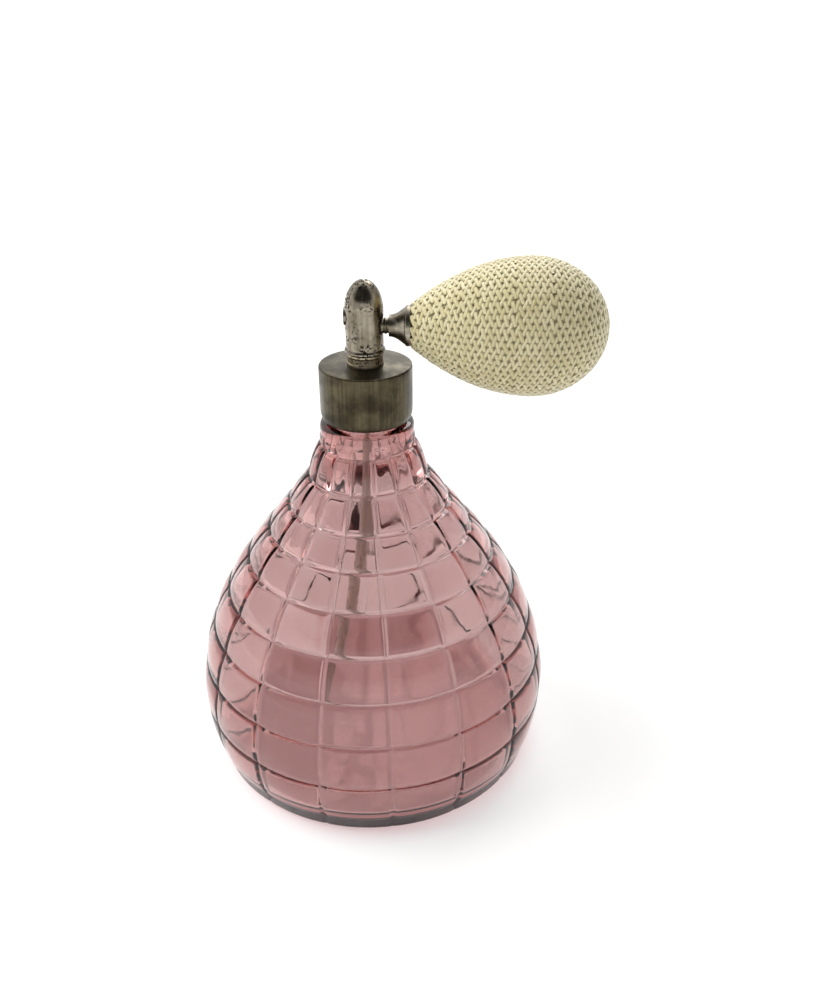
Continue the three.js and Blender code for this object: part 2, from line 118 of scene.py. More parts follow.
# %% A board for building node trees
class Board:
    """Adds nodes to one tree. An input may be a plain value or another node's output."""

    def __init__(self, tree):
        self.tree = tree

    def feed(self, socket, value):
        if isinstance(value, bpy.types.NodeSocket):
            self.tree.links.new(value, socket)
        else:
            socket.default_value = value

    def node(self, kind, inputs=None, **settings):
        node = self.tree.nodes.new(kind)
        for name, value in settings.items():
            setattr(node, name, value)
        for name, value in (inputs or {}).items():
            self.feed(node.inputs[name], value)
        return node

    def math(self, operation, *values):
        node = self.node("ShaderNodeMath", dict(enumerate(values)), operation=operation)
        return node.outputs[0]

    def vector(self, operation, *values):
        node = self.node("ShaderNodeVectorMath", dict(enumerate(values)), operation=operation)
        is_number = operation in ("DOT_PRODUCT", "LENGTH", "DISTANCE")
        return node.outputs["Value" if is_number else "Vector"]

    def scaled(self, vector, share):
        inputs = {0: vector, "Scale": share}
        return self.node("ShaderNodeVectorMath", inputs, operation="SCALE").outputs["Vector"]

    def fade(self, value, start, end, low=0.0, high=1.0):
        """low below start, high above end, and a smooth step between them."""
        inputs = {"Value": value, "From Min": start, "From Max": end, "To Min": low, "To Max": high}
        node = self.node("ShaderNodeMapRange", inputs, interpolation_type="SMOOTHSTEP")
        return node.outputs["Result"]

    def split(self, vector):
        node = self.node("ShaderNodeSeparateXYZ", {"Vector": vector})
        return node.outputs["X"], node.outputs["Y"], node.outputs["Z"]

    def join(self, x, y, z):
        return self.node("ShaderNodeCombineXYZ", {"X": x, "Y": y, "Z": z}).outputs["Vector"]

    def noise(self, vector, scale, detail=3.0, roughness=0.5):
        inputs = {"Vector": vector, "Scale": scale, "Detail": detail, "Roughness": roughness}
        return self.node("ShaderNodeTexNoise", inputs).outputs[0]

    def mix(self, share, first, second):
        node = self.node("ShaderNodeMix", data_type="RGBA")
        self.feed(node.inputs[0], share)
        self.feed(node.inputs[6], first)
        self.feed(node.inputs[7], second)
        return node.outputs[2]

    def bump(self, height, distance, strength=1.0):
        inputs = {"Height": height, "Distance": distance, "Strength": strength}
        return self.node("ShaderNodeBump", inputs).outputs["Normal"]


def colour(red, green, blue):
    return (red, green, blue, 1.0)


def new_finish(name, constants=None):
    """A material with one Principled shader, and the board that its pattern is built on."""
    material = bpy.data.materials.new(name)
    material.use_nodes = True
    material.node_tree.nodes.clear()
    board = Board(material.node_tree)
    shader = board.node("ShaderNodeBsdfPrincipled", constants)
    board.output = board.node("ShaderNodeOutputMaterial", {"Surface": shader.outputs["BSDF"]})
    return material, board, shader


print("board ready")

# %% [markdown]
# The floor is one wide pale sheet, like paper on a table. It is far larger than the object, so
# its edge never shows behind it. Glass on paper looks dull at its foot, because little light
# gets under it, so a small lit panel is let into the paper there. Under the bottle its light is
# faintly rosy. Round the panel the paper glows a little less, and far away it glows more again,
# so that it stays white to its edge.
#
# The paper lies a hair below the bottle's foot. Two faces at the same height would fight over
# which of them is seen.

# %% Floor
FLOOR_RADIUS = 20.0
FLOOR_DROP = 0.3  # millimetres
ROSY_FROM, ROSY_TO = 46, 56  # millimetres: the rosy light fades out between these distances
LIT_FROM, LIT_TO = 48, 90  # millimetres: and the panel's extra light between these
LIT_GLOW = 0.56
PAPER_GLOW = 0.4
FAR_GLOW = 0.4  # added to the paper's own between FAR_FROM and FAR_TO, in metres
FAR_FROM, FAR_TO = 0.3, 1.2


def disc(name, radius, sides=64):
    mesh = bpy.data.meshes.new(name)
    shape = bmesh.new()
    bmesh.ops.create_circle(shape, cap_ends=True, segments=sides, radius=radius)
    shape.to_mesh(mesh)
    shape.free()
    made = bpy.data.objects.new(name, mesh)
    bpy.context.scene.collection.objects.link(made)
    return made


def paper_finish():
    material, board, shader = new_finish("pale_paper", {"Roughness": 0.9})
    place = board.node("ShaderNodeTexCoord").outputs["Object"]
    cloudy = board.noise(place, 6.0)
    tone = board.mix(cloudy, colour(0.54, 0.54, 0.54), colour(0.58, 0.58, 0.57))
    board.feed(shader.inputs["Base Color"], tone)
    far = board.vector("LENGTH", place)
    under = board.fade(far, ROSY_FROM * MM, ROSY_TO * MM, 1.0, 0.0)
    rosy = board.mix(under, colour(1.0, 1.0, 1.0), colour(1.0, 0.76, 0.77))
    board.feed(shader.inputs["Emission Color"], rosy)
    panel = board.fade(far, LIT_FROM * MM, LIT_TO * MM, LIT_GLOW, PAPER_GLOW)
    distant = board.fade(far, FAR_FROM, FAR_TO, 0.0, FAR_GLOW)
    board.feed(shader.inputs["Emission Strength"], board.math("ADD", panel, distant))
    return material


floor = disc("floor", FLOOR_RADIUS)
floor.location.z = -FLOOR_DROP * MM
floor.data.materials.append(paper_finish())
print("floor", floor.dimensions.x, "m across")

# %% [markdown]
# Polished glass and metal show the room more than themselves, so the room matters. It is white
# all round but for a dark patch behind the camera, above the table, which gives the metal its
# dark middle. Light goes through many walls of glass before it comes out, so it may bounce often.
#
# Two soft lamps add to the room's light. The one on the left is hidden from reflections, because
# its square shape would show in every tile of the glass.

# %% Room and lamps
PATCH_TONE = colour(0.07, 0.07, 0.073)
PATCH_FROM, PATCH_TO = 0.25, 0.75  # cosine of the angle from the camera's side of the room
PATCH_LOW, PATCH_HIGH = 0.12, 0.32  # sine of the height above the horizon
LAMP_SIZE = 1.4
LIGHT_BOUNCES = 28


def room():
    world = bpy.data.worlds.new("studio")
    world.use_nodes = True
    world.node_tree.nodes.clear()
    board = Board(world.node_tree)
    direction = board.node("ShaderNodeTexCoord").outputs["Generated"]
    facing = board.vector("DOT_PRODUCT", direction, tuple(backwards))
    above = board.fade(board.split(direction)[2], PATCH_LOW, PATCH_HIGH)
    shade = board.math("MULTIPLY", board.fade(facing, PATCH_FROM, PATCH_TO), above)
    tone = board.mix(shade, colour(1.0, 1.0, 1.0), PATCH_TONE)
    light = board.node("ShaderNodeBackground", {"Color": tone, "Strength": 1.0})
    board.node("ShaderNodeOutputWorld", {"Surface": light.outputs["Background"]})
    bpy.context.scene.world = world


def soft_lamp(name, place, power):
    """A square lamp that shines at the point the camera aims at."""
    lamp = bpy.data.lights.new(name, "AREA")
    lamp.size = LAMP_SIZE
    lamp.energy = power
    made = bpy.data.objects.new(name, lamp)
    bpy.context.scene.collection.objects.link(made)
    made.location = place
    made.rotation_mode = "QUATERNION"
    made.rotation_quaternion = (AIM - Vector(place)).to_track_quat("-Z", "Y")
    return made


room()
left = soft_lamp("lamp_left", (-1.3, 0.1, 1.4), 34.0)
left.visible_glossy = False
soft_lamp("lamp_back", (0.4, 1.5, 1.5), 20.0)
bpy.context.scene.view_settings.view_transform = "Standard"
bpy.context.scene.cycles.max_bounces = LIGHT_BOUNCES
bpy.context.scene.cycles.transmission_bounces = LIGHT_BOUNCES
print("room and two lamps ready")

# %% [markdown]
# ## Turned pieces
#
# Almost every piece of the closure was turned on a lathe or drawn and spun, so one function
# makes them: it carries an outline round an axis. The spray head's parts lie along X instead of
# standing along Z, so the function can lay them down. Sharp corners look false, because real
# ones are always a little worn, so an outline's corners are eased first. The faces between two
# rings of points are laid by a function of their own, which the bottle, the tube and the cord
# use as well.

# %% Turning on a lathe
def eased(corners, steps=4):
    """A closed outline. A corner given as (radius, height, ease) becomes a short curve."""
    outline = []
    for i, (radius, height, *ease) in enumerate(corners):
        if not ease:
            outline.append((radius, height))
            continue
        corner = Vector((radius, height))
        before = Vector(corners[i - 1][:2]) - corner
        after = Vector(corners[(i + 1) % len(corners)][:2]) - corner
        start = corner + before.normalized() * ease[0]
        end = corner + after.normalized() * ease[0]
        for step in range(steps + 1):
            t = step / steps
            outline.append(tuple(start.lerp(corner, t).lerp(corner.lerp(end, t), t)))
    return outline


def link_mesh(name, shape, sharp=40):
    """Makes an object from a bmesh, with its faces pointing out and shaded smooth."""
    bmesh.ops.recalc_face_normals(shape, faces=shape.faces)
    mesh = bpy.data.meshes.new(name)
    shape.to_mesh(mesh)
    shape.free()
    mesh.shade_smooth()
    mesh.set_sharp_from_angle(angle=math.radians(sharp))
    made = bpy.data.objects.new(name, mesh)
    bpy.context.scene.collection.objects.link(made)
    return made


def bridge(shape, rings):
    """Lays faces between neighbouring rings of points. A ring of one point is a pole."""
    for lower, upper in zip(rings, rings[1:]):
        for k in range(max(len(lower), len(upper))):
            corners = [
                lower[k % len(lower)],
                lower[(k + 1) % len(lower)],
                upper[(k + 1) % len(upper)],
                upper[k % len(upper)],
            ]
            corners = list(dict.fromkeys(corners))
            if len(corners) > 2:
                shape.faces.new(corners)


def turned(name, outline, sides=96, lies=None):
    """Turns a closed outline of (radius, height) in mm. lies=z lays it along X at height z."""
    shape = bmesh.new()
    rings = []
    for radius, height in outline:
        count = sides if radius > 1e-6 else 1
        ring = []
        for k in range(count):
            angle = 2 * math.pi * k / count
            across, up = radius * math.cos(angle), radius * math.sin(angle)
            point = (across, up, height) if lies is None else (height, across, lies + up)
            ring.append(shape.verts.new(Vector(point) * MM))
        rings.append(ring)
    bridge(shape, rings + rings[:1])
    return link_mesh(name, shape)


def place_piece(piece, body, finish, nodes):
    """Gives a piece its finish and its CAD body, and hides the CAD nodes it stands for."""
    piece.data.materials.clear()
    piece.data.materials.append(finish)
    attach(piece, body)
    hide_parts(*nodes)
    print(piece.name, "has", len(piece.data.polygons), "faces and rides on", body)


# %% [markdown]
# ## The glass bottle
#
# The bottle was blown into a mould. Ten ring grooves and sixteen upright grooves cut its
# outside into tiles, and each tile swells a little between them, like a pillow. The inside is
# smooth but uneven, as the air that pressed the glass outwards left it.
#
# The shape follows a rule, so it is made in two steps. Mesh code turns a plain wall with all
# the rows it will need, packed close beside the grooves. A Geometry Nodes tree then presses the
# grid into the outside, swells the tiles, raises the screw thread on the neck and ripples the
# inside.

# %% Sizes of the bottle
RING_GROOVES = [  # height, radius
    (4.6, 50.4),
    (19.5, 53.4),
    (33.4, 52.3),
    (45.6, 48.8),
    (57.0, 43.4),
    (67.4, 36.7),
    (76.3, 29.9),
    (84.2, 23.7),
    (92.9, 17.4),
    (102.6, 13.9),
]
PANELS = 16
PANEL_ANGLE = 2 * math.pi / PANELS
PANEL_OFFSET = math.radians(9.6)  # first upright groove, from -Y towards +X
TILE_SWELL = 0.06  # of the distance between two ring grooves
WALL = 3.4
FLOOR_Z = 3.6  # top of the glass floor
PUNT = 1.0  # how far the middle of the underside is hollowed
PUNT_RADIUS = 40.0
NECK_BORE = 7.6
NECK_RADIUS = 10.5
LIP_Z = 122.6
BEAD_RADIUS = 13.4
RIPPLE_TOP = 104.0  # the bore of the neck is even above this height
THREAD_START = 113.8
THREAD_LEAD = 6.0
THREAD_STARTS = 2
THREAD_TURNS = 1.1
THREAD_HEIGHT = 0.9
THREAD_RUN_OUT = 0.08  # turns over which the thread rises at its start and falls at its end
THREAD_CREST = 0.35  # half its width at the crest
THREAD_ROOT = 0.7  # and at the root
RIPPLE_SCALE = 48.0  # waves of the inside in a metre, roughly
print("bottle", LIP_Z, "mm tall with", len(RING_GROOVES), "rings and", PANELS, "panels")

# %% [markdown]
# Each point of the outline carries five numbers that the node tree reads: how far it is from
# the nearest ring groove, how much the tile swells there, and whether it is on the pressed
# outside, on the neck or on the inside.

# %% Outline of the bottle
# From one groove to the next, with points packed close beside each.
GROOVE_SHARES = [0, 0.02, 0.045, 0.075, 0.12, 0.18, 0.26, 0.36, 0.5]
GROOVE_SHARES += [1 - share for share in GROOVE_SHARES[-2:0:-1]]
MARKS = ("ring_gap", "swell", "pressed", "neck", "inside")


def mark(radius, height, ring_gap=9.0, swell=0.0, pressed=0.0, neck=0.0, inside=0.0):
    return (radius, height, ring_gap, swell, pressed, neck, inside)


def smooth_through(points, steps):
    """Points on a smooth curve through the given ones (a Catmull-Rom spline)."""
    padded = [points[0], *points, points[-1]]
    curve = []
    for i in range(1, len(padded) - 2):
        p0, p1, p2, p3 = (np.array(p, float) for p in padded[i - 1 : i + 3])
        for step in range(steps):
            t = step / steps
            bend = (2 * p0 - 5 * p1 + 4 * p2 - p3) * t * t + (3 * p1 - p0 - 3 * p2 + p3) * t**3
            curve.append(tuple(0.5 * (2 * p1 + (p2 - p0) * t + bend)))
    return curve + [tuple(points[-1])]


def foot():
    inner = range(0, int(PUNT_RADIUS), 4)
    hollow = [(radius, PUNT * (1 - (radius / PUNT_RADIUS) ** 2)) for radius in inner]
    under = [mark(radius, height) for radius, height in [*hollow, (PUNT_RADIUS, 0.0), (46.6, 0.0)]]
    heel = [(47.3, 0.06), (48.3, 0.35), (49.2, 1.0), (49.9, 2.0)]
    first = RING_GROOVES[0][0]
    return under + [mark(r, z, ring_gap=first - z, pressed=z / first) for r, z in heel]


def pressed_side():
    rows = []
    for (z0, r0), (z1, r1) in zip(RING_GROOVES, RING_GROOVES[1:]):
        length = math.hypot(z1 - z0, r1 - r0)
        for share in GROOVE_SHARES:
            gap = min(share, 1 - share) * length
            swell = TILE_SWELL * length * 4 * share * (1 - share)
            radius, height = r0 + (r1 - r0) * share, z0 + (z1 - z0) * share
            rows.append(mark(radius, height, ring_gap=gap, swell=swell, pressed=1.0))
    return rows


def bead_and_neck():
    z, radius = RING_GROOVES[-1]
    rows = [mark(radius, z, ring_gap=0.0, pressed=1.0)]
    rows += [mark(13.75, z + 0.5, ring_gap=0.5, pressed=0.9)]
    rows += [mark(13.75, z + 1.4, ring_gap=1.4, pressed=0.6), mark(13.65, 105.2, pressed=0.2)]
    bead = [(13.25, 106.1), (13.3, 106.6), (BEAD_RADIUS, 107.2), (BEAD_RADIUS, 108.1)]
    bead += [(13.2, 108.7), (12.7, 109.15), (11.4, 109.4), (10.8, 109.9), (NECK_RADIUS, 110.6)]
    rows += [mark(r, h) for r, h in bead]
    rows += [mark(NECK_RADIUS, h, neck=1.0) for h in np.arange(111.0, LIP_Z - 0.75, 0.25)]
    lip = [(10.5, 122.0), (10.35, 122.4), (10.0, LIP_Z), (8.2, LIP_Z), (7.75, 122.45)]
    return rows + [mark(r, h) for r, h in lip]


def inside_wall():
    shoulder = [(r - WALL, z) for z, r in RING_GROOVES[1:-1]]
    floor_curve = [(0.0, FLOOR_Z), (16.0, FLOOR_Z), (32.0, FLOOR_Z)]
    floor_curve += [(43.5, FLOOR_Z + 0.8), (48.0, FLOOR_Z + 4.5)]
    throat = [(10.9, 98.0), (NECK_BORE + 1.3, 103.0), (NECK_BORE + 0.7, 108.0), (NECK_BORE, 115.0)]
    points = smooth_through([*floor_curve, *shoulder, *throat, (NECK_BORE, 122.1)], 5)
    rows = [mark(r, z, inside=1.0 if z < RIPPLE_TOP else 0.0) for r, z in points]
    return rows[::-1]


bottle_rows = foot() + pressed_side() + bead_and_neck() + inside_wall()
print("outline of", len(bottle_rows), "rows, lowest ring at", RING_GROOVES[0][0], "mm")

# %% [markdown]
# The wall is turned with its columns packed close beside the upright grooves too.

# %% Plain wall of the bottle
def plain_wall(name, rows):
    shares = [(panel + share) / PANELS for panel in range(PANELS) for share in GROOVE_SHARES]
    angles = [2 * math.pi * share + PANEL_OFFSET - math.pi / 2 for share in shares]
    shape = bmesh.new()
    layers = [shape.verts.layers.float.new(name) for name in MARKS]
    rings = []
    for radius, height, *values in rows:
        ring = []
        for angle in angles if radius > 0 else angles[:1]:
            point = (radius * math.cos(angle), radius * math.sin(angle), height)
            vertex = shape.verts.new(Vector(point) * MM)
            for layer, value in zip(layers, values):
                vertex[layer] = value
            ring.append(vertex)
        rings.append(ring)
    bridge(shape, rings)
    return link_mesh(name, shape, sharp=180)


bottle = plain_wall("pink_bottle", bottle_rows)
print("plain wall with", len(bottle.data.vertices), "points")

# %% [markdown]
# A Geometry Nodes tree works on all points at once. One helper makes a tree with named inputs,
# and another ends it. A third sets a modifier's inputs, each by its identifier, and keeps the
# result as a plain mesh, because the modifier has to be gone before the piece is tied to its
# body.

# %% Helpers for Geometry Nodes
def new_tree(name, sizes, whole=()):
    """A tree with a geometry input, a number input for each size and a material input."""
    tree = bpy.data.node_groups.new(name, "GeometryNodeTree")
    tree.is_modifier = True
    sockets = [("Shape", "Geometry"), *((n, "Float") for n in sizes), *((n, "Int") for n in whole)]
    for socket, kind in [*sockets, ("Finish", "Material")]:
        tree.interface.new_socket(name=socket, in_out="INPUT", socket_type=f"NodeSocket{kind}")
    tree.interface.new_socket(name="Made", in_out="OUTPUT", socket_type="NodeSocketGeometry")
    board = Board(tree)
    board.given = board.node("NodeGroupInput").outputs
    return tree, board


def finish_tree(board, geometry):
    """Ends a tree: instances become real, and the material is set."""
    real = board.node("GeometryNodeRealizeInstances", {"Geometry": geometry})
    inputs = {"Geometry": real.outputs["Geometry"], "Material": board.given["Finish"]}
    painted = board.node("GeometryNodeSetMaterial", inputs)
    board.node("NodeGroupOutput", {"Made": painted.outputs["Geometry"]})


def keep_result(piece):
    """Makes what the modifiers give the piece's own mesh, and removes them."""
    bpy.context.view_layer.update()
    evaluated = piece.evaluated_get(bpy.context.evaluated_depsgraph_get())
    mesh = bpy.data.meshes.new_from_object(evaluated)
    piece.modifiers.clear()
    piece.data = mesh
    mesh.name = piece.name


def grow(piece, tree, values):
    """Runs a tree on a piece with these inputs, and keeps the result as the piece's mesh."""
    modifier = piece.modifiers.new(tree.name, "NODES")
    modifier.node_group = tree
    for item in tree.interface.items_tree:
        if item.in_out == "INPUT" and item.name in values:
            modifier[item.identifier] = values[item.name]
    keep_result(piece)


def named(board, name, kind="FLOAT"):
    """Reads a number or a vector that each point carries under this name."""
    node = board.node("GeometryNodeInputNamedAttribute", {"Name": name}, data_type=kind)
    return node.outputs["Attribute"]


print("Geometry Nodes helpers ready")

# %% [markdown]
# The pressing tree works in four parts.
#
# 1. A point's panel number comes from its angle round the axis. Its distance from the nearest
#    whole number, times the panel's width, is how far it is from an upright groove.
# 2. Both kinds of groove are the same narrow valley, so only the nearer one counts.
# 3. The thread is a ridge along a helix. At any height the helix is at a known angle, and the
#    difference from the point's own angle says how far it is from the ridge.
# 4. The inside follows none of this, and a slow noise ripples it.
#
# Every point then moves along its own normal, so the inside moves into the glass or out of it.

# %% Grid of grooves
def pressed_grid(board, x, y):
    """How far the grooves, the rolled panels and the swollen tiles move a point, in mm."""
    radius = board.vector("LENGTH", board.join(x, y, 0.0))
    angle = board.math("ARCTAN2", x, board.math("MULTIPLY", y, -1.0))
    panel = board.math("DIVIDE", board.math("SUBTRACT", angle, PANEL_OFFSET), PANEL_ANGLE)
    share = board.math("ABSOLUTE", board.math("SUBTRACT", panel, board.math("ROUND", panel)))
    column_gap = board.math("MULTIPLY", share, board.math("MULTIPLY", radius, PANEL_ANGLE))

    gap = board.math("MINIMUM", column_gap, named(board, "ring_gap"))
    valley = board.math("DIVIDE", gap, board.given["Groove width"])
    valley = board.math("MULTIPLY", board.math("POWER", valley, 2.0), -1.0)
    valley = board.math("MULTIPLY", board.math("EXPONENT", valley), board.given["Groove depth"])
    edge = board.math("SUBTRACT", 1.0, board.math("MULTIPLY", share, 2.0))
    roll = board.math("MULTIPLY", board.math("POWER", edge, 2.0), board.given["Panel roll"])
    pressed = board.math("SUBTRACT", named(board, "swell"), board.math("ADD", roll, valley))
    return board.math("MULTIPLY", pressed, named(board, "pressed"))


print("grid rule ready for", PANELS * (len(RING_GROOVES) - 1), "tiles")

# %% Screw thread
def thread_ridge(board, x, y, z):
    """How far the screw thread lifts a point of the neck, in mm."""
    turn = board.math("ARCTAN2", y, x)
    climb = board.math("DIVIDE", board.math("SUBTRACT", z, THREAD_START), THREAD_LEAD)
    behind = board.math("SUBTRACT", turn, board.math("MULTIPLY", climb, 2 * math.pi))
    half_way = math.pi / THREAD_STARTS
    behind = board.math("WRAP", behind, half_way, -half_way)
    ridge_gap = board.math("MULTIPLY", board.math("ABSOLUTE", behind), THREAD_LEAD / 2 / math.pi)
    ridge = board.fade(ridge_gap, THREAD_CREST, THREAD_ROOT, 1.0, 0.0)
    run_in = board.fade(climb, 0.0, THREAD_RUN_OUT)
    run_out = board.fade(climb, THREAD_TURNS - THREAD_RUN_OUT, THREAD_TURNS, 1.0, 0.0)
    ridge = board.math("MULTIPLY", ridge, board.math("MULTIPLY", run_in, run_out))
    lift = board.math("MULTIPLY", named(board, "neck"), board.given["Thread height"])
    return board.math("MULTIPLY", ridge, lift)


print("thread of", THREAD_STARTS, "starts and", THREAD_TURNS, "turns")

# %% Tree that presses the bottle
def pressing_tree():
    sizes = ("Groove depth", "Groove width", "Panel roll", "Thread height", "Inside ripple")
    tree, board = new_tree("press_grid", sizes)
    place = board.node("GeometryNodeInputPosition").outputs["Position"]
    x, y, z = (board.math("DIVIDE", part, MM) for part in board.split(place))
    slow_noise = board.math("SUBTRACT", board.noise(place, RIPPLE_SCALE, 0.0), 0.5)
    height = board.math("MULTIPLY", named(board, "inside"), board.given["Inside ripple"])
    ripple = board.math("MULTIPLY", slow_noise, height)

    moved = board.math("ADD", pressed_grid(board, x, y), thread_ridge(board, x, y, z))
    moved = board.math("MULTIPLY", board.math("ADD", moved, ripple), MM)
    normal = board.node("GeometryNodeInputNormal").outputs["Normal"]
    inputs = {"Geometry": board.given["Shape"], "Offset": board.scaled(normal, moved)}
    pushed = board.node("GeometryNodeSetPosition", inputs)
    finish_tree(board, pushed.outputs["Geometry"])
    return tree


press_grid = pressing_tree()
print("pressing tree with", len(press_grid.nodes), "nodes")

# %% [markdown]
# The glass has its colour in its body and none on its surface. A short way through it looks pale
# and a long way looks deep rose, so the colour is an absorption inside the volume, and the
# surface itself only reflects and bends light. Old moulded glass is a little wavy and faintly
# smeared.

# %% Pink glass
def pink_glass_finish():
    gloss = {"Transmission Weight": 1.0, "IOR": 1.5}
    material, board, shader = new_finish("pink_glass", gloss)
    place = board.node("ShaderNodeTexCoord").outputs["Object"]
    waves = board.noise(place, 110.0, 2.0)
    board.feed(shader.inputs["Normal"], board.bump(waves, 0.04 * MM))
    smears = board.noise(place, 260.0, 4.0)
    board.feed(shader.inputs["Roughness"], board.fade(smears, 0.45, 0.75, 0.02, 0.09))
    dye = {"Color": colour(0.62, 0.1, 0.06), "Density": 132.0}
    body = board.node("ShaderNodeVolumeAbsorption", dye)
    board.feed(board.output.inputs["Volume"], body.outputs["Volume"])
    return material


pink_glass = pink_glass_finish()
grid_sizes = {
    "Groove depth": 0.6,
    "Groove width": 0.45,
    "Panel roll": 0.25,
    "Thread height": THREAD_HEIGHT,
    "Inside ripple": 0.24,
    "Finish": pink_glass,
}
grow(bottle, press_grid, grid_sizes)
place_piece(bottle, "bottle", pink_glass, ["glass_bottle"])

# %% [markdown]
# ## Metal finishes
#
# Most of the metal here is brass under a thin plate. Where hands touch it the plate stays bright,
# elsewhere it has tarnished, and at the worst places small black pits have opened. One function
# makes the family: two tones mixed in clouds, fine scratches drawn out along one direction, and
# pits. It can also paint an upper face lighter, as painted light from above. A scratch is a noise
# stretched a long way, so its scale is given for each axis: the least is along the scratch.

# %% Metal finish
UPRIGHT_SCRATCHES = (900, 900, 40)
LYING_SCRATCHES = (40, 900, 900)
PIT_TONE = colour(0.012, 0.01, 0.008)
# painted light: an upper face is coloured this much lighter, as if lit from above
TOP_PAINTED_LIGHT = 1.25  # how much brighter an upper face is


def metal_finish(
    name, bright, dull, rough, scratch=UPRIGHT_SCRATCHES, pits=0.0, clouds=70.0, top=None
):
    """top gives the height in mm where a piece's upper face begins, painted lighter as lit from
    above.
    """
    material, board, shader = new_finish(name, {"Metallic": 1.0})
    place = board.node("ShaderNodeTexCoord").outputs["Object"]
    cloudy = board.noise(place, clouds, 5.0, 0.6)
    tone = board.mix(board.fade(cloudy, 0.36, 0.64), bright, dull)
    lines = board.noise(board.vector("MULTIPLY", place, scratch), 1.0, 3.0, 0.6)
    line_tone = board.fade(lines, 0.3, 0.7, 0.72, 1.25)
    tone = board.mix(1.0, tone, board.join(line_tone, line_tone, line_tone))
    tone.node.blend_type = "MULTIPLY"
    # Painted light: above the height top, the colour is made lighter, as if lit from above.
    if top:
        height = board.split(place)[2]
        lift = board.fade(height, (top - 0.3) * MM, top * MM, 1.0, TOP_PAINTED_LIGHT)
        tone = board.mix(1.0, tone, board.join(lift, lift, lift))
        tone.node.blend_type = "MULTIPLY"
    matt = board.fade(cloudy, 0.35, 0.65, *rough)
    matt = board.math("ADD", matt, board.fade(lines, 0.4, 0.7, 0.0, 0.06))
    if pits:
        spots = board.noise(place, 1500.0, 2.0, 0.5)
        patches = board.noise(place, 160.0, 3.0)
        patches = board.fade(patches, 0.46, 0.6, 0.0, pits)
        spots = board.math("MULTIPLY", board.fade(spots, 0.52, 0.57), patches)
        tone = board.mix(spots, tone, PIT_TONE)
        matt = board.math("ADD", matt, board.math("MULTIPLY", spots, 0.4))
    board.feed(shader.inputs["Base Color"], tone)
    board.feed(shader.inputs["Roughness"], matt)
    board.feed(shader.inputs["Normal"], board.bump(lines, 0.012 * MM))
    return material


COLLAR_TOP = 125.7
dark_nickel = metal_finish(
    "dark_nickel",
    colour(0.09, 0.075, 0.045),
    colour(0.04, 0.033, 0.021),
    (0.26, 0.4),
    clouds=120.0,
    # the collar's flat top gets painted light: its colour is made lighter, as if lit from above
    top=COLLAR_TOP - 0.05,
)
worn_plate = metal_finish(
    "worn_plate", colour(0.31, 0.275, 0.215), colour(0.1, 0.077, 0.046), (0.08, 0.2), pits=1.0
)
boss_plate = metal_finish(
    "boss_plate", colour(0.5, 0.42, 0.3), colour(0.2, 0.15, 0.09), (0.2, 0.4), pits=0.8
)
plated_brass = metal_finish(
    "plated_brass",
    colour(0.34, 0.31, 0.25),
    colour(0.15, 0.125, 0.08),
    (0.2, 0.38),
    LYING_SCRATCHES,
)
brass = metal_finish("brass", colour(0.62, 0.44, 0.2), colour(0.36, 0.24, 0.1), (0.22, 0.4))
steel = metal_finish("steel", colour(0.6, 0.6, 0.61), colour(0.42, 0.42, 0.43), (0.1, 0.22))
print("six metal finishes")

# %% [markdown]
# Plastic and rubber are one more family: an even colour with slight clouds, a fine grain in the
# surface, and a gloss that varies a little from place to place.

# %% Moulded finishes
def moulded_finish(name, tone, shade, rough, grain=0.02, extra=None):
    material, board, shader = new_finish(name, extra)
    place = board.node("ShaderNodeTexCoord").outputs["Object"]
    cloudy = board.noise(place, 120.0, 4.0)
    board.feed(shader.inputs["Base Color"], board.mix(cloudy, tone, shade))
    board.feed(shader.inputs["Roughness"], board.fade(cloudy, 0.3, 0.7, *rough))
    fine = board.noise(place, 2500.0, 2.0)
    board.feed(shader.inputs["Normal"], board.bump(fine, grain * MM))
    return material


white_plastic = moulded_finish(
    "white_plastic", colour(0.76, 0.74, 0.7), colour(0.66, 0.63, 0.57), (0.35, 0.5)
)
clear_tube = moulded_finish(
    "clear_tube",
    colour(0.97, 0.95, 0.9),
    colour(0.92, 0.89, 0.82),
    (0.15, 0.3),
    extra={"Transmission Weight": 0.7, "IOR": 1.3},
)
black_rubber = moulded_finish(
    "black_rubber", colour(0.018, 0.017, 0.016), colour(0.035, 0.033, 0.03), (0.5, 0.7), grain=0.05
)
cream_rubber = moulded_finish(
    "cream_rubber", colour(0.3, 0.26, 0.15), colour(0.22, 0.19, 0.11), (0.5, 0.7), grain=0.05
)
print("four moulded finishes")

# %% [markdown]
# Most of the small pieces sit inside the closure and keep their CAD shape. They only need the
# right finish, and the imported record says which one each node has.

# %% Finishes of the CAD nodes that stay
FINISHES = {
    "dark_nickel": dark_nickel,
    "worn_plate": worn_plate,
    "plated_brass": plated_brass,
    "brass": brass,
    "steel": steel,
    "white_plastic": white_plastic,
    "clear_tube": clear_tube,
    "black_rubber": black_rubber,
    "cream_rubber": cream_rubber,
    "cream_thread": cream_rubber,
    "pink_glass": pink_glass,
}
for part in frame["record"]["subparts"]:
    node = frame["nodes"][part["node"]]
    node.data.materials.clear()
    node.data.materials.append(FINISHES[part["material_slot"]])
print("finish given to", len(frame["nodes"]), "CAD nodes")

# %% [markdown]
# ## The collar
#
# The collar is a deep cap spun from thin sheet: a flat top with a small rolled rim, a straight
# side, and a lower edge turned in over the glass. A plastic liner inside it carries the thread.

# %% Collar and boss
COLLAR_RADIUS = 13.0


